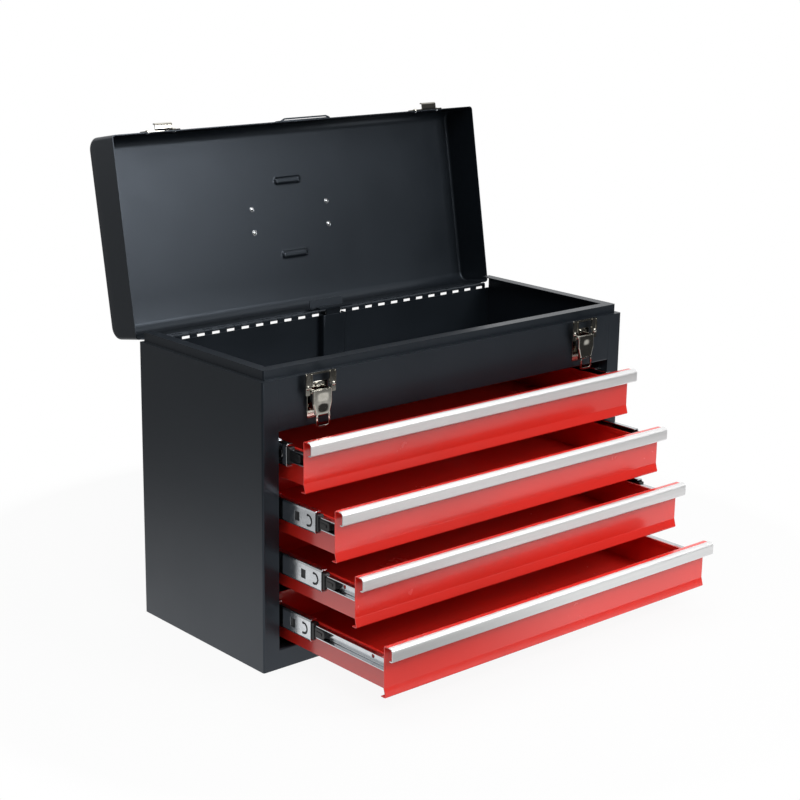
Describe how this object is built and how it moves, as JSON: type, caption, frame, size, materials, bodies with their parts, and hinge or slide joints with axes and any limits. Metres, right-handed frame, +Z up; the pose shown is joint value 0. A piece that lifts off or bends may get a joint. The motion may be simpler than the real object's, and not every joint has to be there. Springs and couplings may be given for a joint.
{
  "type": "portable tool box with drawers",
  "caption": "Portable steel tool box with an open lid over a top tray, draw latches, a carrying handle and red drawers on ball-bearing slides with bright pull strips.",
  "frame": {"origin": "on the floor, under the middle of the closed case's footprint", "axes": "+X to the right seen from the front, +Y to the back, +Z up; the drawers pull out towards -Y"},
  "size_m": [0.52, 0.4817, 0.5311],
  "materials": {
    "black_paint": "blue-black powder coat, fine texture",
    "red_paint": "gloss red powder coat",
    "satin_aluminium": "satin, lengthwise brushed",
    "zinc_steel": "zinc plated",
    "nickel": "bright nickel plate",
    "black_plastic": "moulded, fine grain"
  },
  "bodies": {
    "case": {"case_shell": "black_paint", "case_bottom": "black_paint", "front_apron": "black_paint", "tray": "black_paint", "slide_panel_left": "black_paint", "slide_panel_right": "black_paint", "lock_channel": "black_paint", "lock_guides": "zinc_steel", "hinge_leaf_case": "black_paint", "hinge_pin": "zinc_steel", "latch_base_left": "nickel", "latch_pins_left": "nickel", "latch_base_right": "nickel", "latch_pins_right": "nickel", "case_member_1": "zinc_steel", "case_member_2": "zinc_steel", "case_member_3": "zinc_steel", "case_member_4": "zinc_steel"},
    "lid": {"lid_shell": "black_paint", "hinge_leaf_lid": "black_paint", "lid_striker": "black_paint", "lid_pull": "black_paint", "catch_left": "nickel", "catch_right": "nickel", "lid_rivets": "zinc_steel", "handle_bracket_left": "nickel", "handle_bracket_right": "nickel"},
    "handle": {"handle_bail": "nickel", "handle_grip": "black_plastic"},
    "lock": {"lock_bar": "black_paint"},
    "latch_lever_left": {"latch_lever_left": "nickel"},
    "latch_bail_left": {"latch_bail_left": "nickel"},
    "latch_lever_right": {"latch_lever_right": "nickel"},
    "latch_bail_right": {"latch_bail_right": "nickel"},
    "runner_1": {"middle_member_1": "zinc_steel", "slide_bumper_1": "black_plastic"},
    "drawer_1": {"drawer_pan_1": "red_paint", "drawer_front_1": "red_paint", "pull_strip_1": "satin_aluminium", "drawer_member_1": "zinc_steel"},
    "runner_2": {"middle_member_2": "zinc_steel", "slide_bumper_2": "black_plastic"},
    "drawer_2": {"drawer_pan_2": "red_paint", "drawer_front_2": "red_paint", "pull_strip_2": "satin_aluminium", "drawer_member_2": "zinc_steel"},
    "runner_3": {"middle_member_3": "zinc_steel", "slide_bumper_3": "black_plastic"},
    "drawer_3": {"drawer_pan_3": "red_paint", "drawer_front_3": "red_paint", "pull_strip_3": "satin_aluminium", "drawer_member_3": "zinc_steel"},
    "runner_4": {"middle_member_4": "zinc_steel", "slide_bumper_4": "black_plastic"},
    "drawer_4": {"drawer_pan_4": "red_paint", "drawer_front_4": "red_paint", "pull_strip_4": "satin_aluminium", "drawer_member_4": "zinc_steel"}
  },
  "joints": [
    {"name": "lid_hinge", "type": "hinge", "parent": "case", "child": "lid", "pos_m": [0, 0.111, 0.3067], "axis": [1, 0, 0], "range_deg": [0, 100.3]},
    {"name": "handle_pivot", "type": "hinge", "parent": "lid", "child": "handle", "pos_m": [0, 0.19086, 0.405], "axis": [1, 0, 0], "range_deg": [-10.3, 169.7]},
    {"name": "lock_slide", "type": "slide", "parent": "case", "child": "lock", "axis": [0, 0, -1], "range_m": [0, 0.0065]},
    {"name": "lever_hinge_left", "type": "hinge", "parent": "case", "child": "latch_lever_left", "pos_m": [-0.192, -0.116, 0.291], "axis": [-1, 0, 0], "range_deg": [0, 100]},
    {"name": "bail_hinge_left", "type": "hinge", "parent": "latch_lever_left", "child": "latch_bail_left", "pos_m": [-0.192, -0.116, 0.281], "axis": [-1, 0, 0], "range_deg": [-100, 0]},
    {"name": "lever_hinge_right", "type": "hinge", "parent": "case", "child": "latch_lever_right", "pos_m": [0.192, -0.116, 0.291], "axis": [-1, 0, 0], "range_deg": [0, 100]},
    {"name": "bail_hinge_right", "type": "hinge", "parent": "latch_lever_right", "child": "latch_bail_right", "pos_m": [0.192, -0.116, 0.281], "axis": [-1, 0, 0], "range_deg": [-100, 0]},
    {"name": "runner_slide_1", "type": "slide", "parent": "case", "child": "runner_1", "axis": [0, -1, 0], "range_m": [-0.03, 0.065]},
    {"name": "drawer_slide_1", "type": "slide", "parent": "runner_1", "child": "drawer_1", "axis": [0, -1, 0], "range_m": [-0.0057, 0.0943]},
    {"name": "runner_slide_2", "type": "slide", "parent": "case", "child": "runner_2", "axis": [0, -1, 0], "range_m": [-0.076, 0.019]},
    {"name": "drawer_slide_2", "type": "slide", "parent": "runner_2", "child": "drawer_2", "axis": [0, -1, 0], "range_m": [-0.0089, 0.0911]},
    {"name": "runner_slide_3", "type": "slide", "parent": "case", "child": "runner_3", "axis": [0, -1, 0], "range_m": [-0.086, 0.009]},
    {"name": "drawer_slide_3", "type": "slide", "parent": "runner_3", "child": "drawer_3", "axis": [0, -1, 0], "range_m": [-0.0303, 0.0697]},
    {"name": "runner_slide_4", "type": "slide", "parent": "case", "child": "runner_4", "axis": [0, -1, 0], "range_m": [-0.069, 0.026]},
    {"name": "drawer_slide_4", "type": "slide", "parent": "runner_4", "child": "drawer_4", "axis": [0, -1, 0], "range_m": [-0.0915, 0.0085]}
  ],
  "couplings": [
    {"joint": "lock_slide", "follows": "lid_hinge", "m_per_rad": 0.003713},
    {"joint": "bail_hinge_left", "follows": "lever_hinge_left", "ratio": -1},
    {"joint": "bail_hinge_right", "follows": "lever_hinge_right", "ratio": -1}
  ]
}
